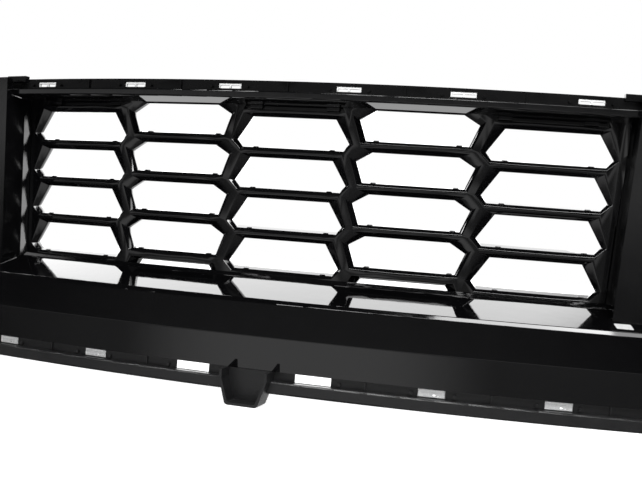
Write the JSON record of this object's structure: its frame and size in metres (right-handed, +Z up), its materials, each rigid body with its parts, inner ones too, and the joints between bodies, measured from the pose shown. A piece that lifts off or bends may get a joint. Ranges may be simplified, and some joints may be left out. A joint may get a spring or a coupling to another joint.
{
  "type": "front bumper lower grille",
  "caption": "Bowed lower bumper grille: honeycomb insert in a deep gloss frame, with clip-window carriers and end brackets.",
  "frame": {"origin": "centre of the assembly's bounding box", "axes": "+X along the grille's width, -Y out of its front face, +Z up"},
  "size_m": [0.8816, 0.158, 0.34],
  "materials": {
    "gloss_black": "piano-black gloss",
    "mesh_black": "moulded gloss black",
    "grained_black": "fine grain, satin",
    "spring_steel": "zinc-plated sheet",
    "screw_steel": "dark zinc",
    "foam": "closed-cell foam"
  },
  "bodies": {
    "root": {"bezel_screws": "screw_steel", "bracket_screws": "screw_steel", "fascia_screws": "screw_steel", "honeycomb_mesh": "mesh_black", "insert_screws": "screw_steel", "left_end_bracket": "grained_black", "left_foam": "foam", "left_foot_clip": "spring_steel", "left_pillar": "gloss_black", "left_u_nuts": "spring_steel", "lower_carrier": "grained_black", "lower_clip_1": "spring_steel", "lower_clip_2": "spring_steel", "lower_clip_5": "spring_steel", "lower_clip_6": "spring_steel", "lower_foam": "foam", "pillar_screws": "screw_steel", "right_end_bracket": "grained_black", "right_foam": "foam", "right_foot_clip": "spring_steel", "right_pillar": "gloss_black", "right_u_nuts": "spring_steel", "sill_panel": "gloss_black", "upper_bezel": "gloss_black", "upper_carrier": "grained_black", "upper_clip_1": "spring_steel", "upper_clip_2": "spring_steel", "upper_clip_3": "spring_steel", "upper_clip_4": "spring_steel", "upper_clip_5": "spring_steel", "upper_clip_6": "spring_steel", "upper_foam": "foam"}
  },
  "joints": []
}
